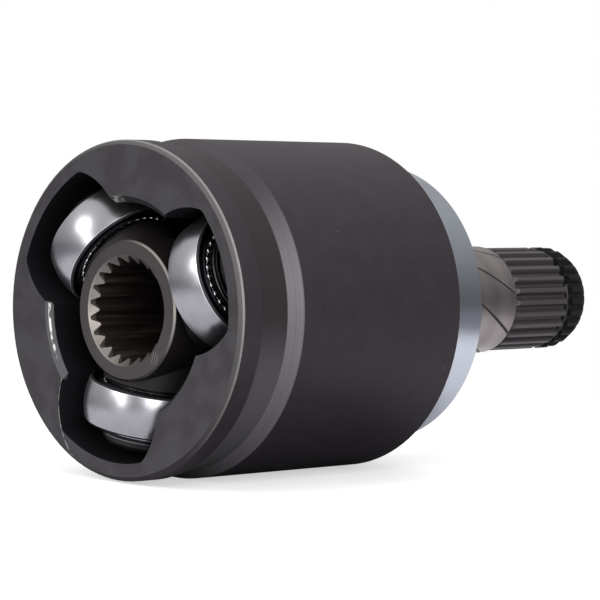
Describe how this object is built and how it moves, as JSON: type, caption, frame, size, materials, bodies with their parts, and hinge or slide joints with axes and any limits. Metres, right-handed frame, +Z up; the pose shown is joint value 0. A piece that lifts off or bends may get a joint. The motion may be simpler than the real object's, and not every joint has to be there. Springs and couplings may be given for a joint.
{
  "type": "inner tripod constant velocity joint",
  "caption": "Plunging tripod joint: a forged three-track bell with a splined stub shaft, and a splined spider carrying barrel rollers on needle bearings.",
  "frame": {"origin": "the joint centre, where the three trunnion axes cross, at rest", "axes": "+X along the shaft from the bell's mouth to the stub's end, +Z up, +Y completes the right hand"},
  "size_m": [0.1491, 0.076, 0.076],
  "materials": {
    "forged_steel": "dark phosphated forging, satin",
    "machined_steel": "turned and broached steel",
    "zinc_plated_steel": "bright zinc plate",
    "polished_steel": "ground and polished bearing steel",
    "needle_steel": "ground bearing steel",
    "washer_steel": "pressed and tumbled steel",
    "spring_steel": "dark spring steel"
  },
  "bodies": {
    "housing": {"housing": "forged_steel", "dust_ring": "zinc_plated_steel", "stub_circlip": "spring_steel"},
    "carrier_roller": {"roller_3": "polished_steel"},
    "spider": {"spider": "machined_steel", "inner_washer_1": "washer_steel", "outer_washer_1": "washer_steel", "snap_ring_1": "spring_steel", "inner_washer_2": "washer_steel", "outer_washer_2": "washer_steel", "snap_ring_2": "spring_steel", "inner_washer_3": "washer_steel", "outer_washer_3": "washer_steel", "snap_ring_3": "spring_steel"},
    "roller_1": {"roller_1": "polished_steel"},
    "roller_2": {"roller_2": "polished_steel"},
    "needles_1": {"needle_rollers_1": "needle_steel"},
    "needles_2": {"needle_rollers_2": "needle_steel"},
    "needles_3": {"needle_rollers_3": "needle_steel"}
  },
  "joints": [
    {"name": "plunge", "type": "slide", "parent": "housing", "child": "carrier_roller", "axis": [1, 0, 0], "range_m": [-0.008, 0.022]},
    {"name": "articulation", "type": "hinge", "parent": "carrier_roller", "child": "spider", "pos_m": [0, 0, 0], "axis": [0, 0.1736, -0.9848], "range_deg": [-15, 15]},
    {"name": "roller_1_spin", "type": "hinge", "parent": "spider", "child": "roller_1", "pos_m": [0, 0, 0], "axis": [0, -0.9397, 0.342], "continuous": true},
    {"name": "roller_2_spin", "type": "hinge", "parent": "spider", "child": "roller_2", "pos_m": [0, 0, 0], "axis": [0, 0.766, 0.6428], "continuous": true},
    {"name": "needles_1_orbit", "type": "hinge", "parent": "spider", "child": "needles_1", "pos_m": [0, 0, 0], "axis": [0, -0.9397, 0.342], "continuous": true},
    {"name": "needles_2_orbit", "type": "hinge", "parent": "spider", "child": "needles_2", "pos_m": [0, 0, 0], "axis": [0, 0.766, 0.6428], "continuous": true},
    {"name": "needles_3_orbit", "type": "hinge", "parent": "spider", "child": "needles_3", "pos_m": [0, 0, 0], "axis": [0, 0.1736, -0.9848], "range_deg": [-9, 9]}
  ],
  "couplings": [
    {"joint": "needles_1_orbit", "follows": "roller_1_spin", "ratio": 0.54604},
    {"joint": "needles_2_orbit", "follows": "roller_2_spin", "ratio": 0.54604},
    {"joint": "needles_3_orbit", "follows": "articulation", "ratio": -0.54604}
  ]
}
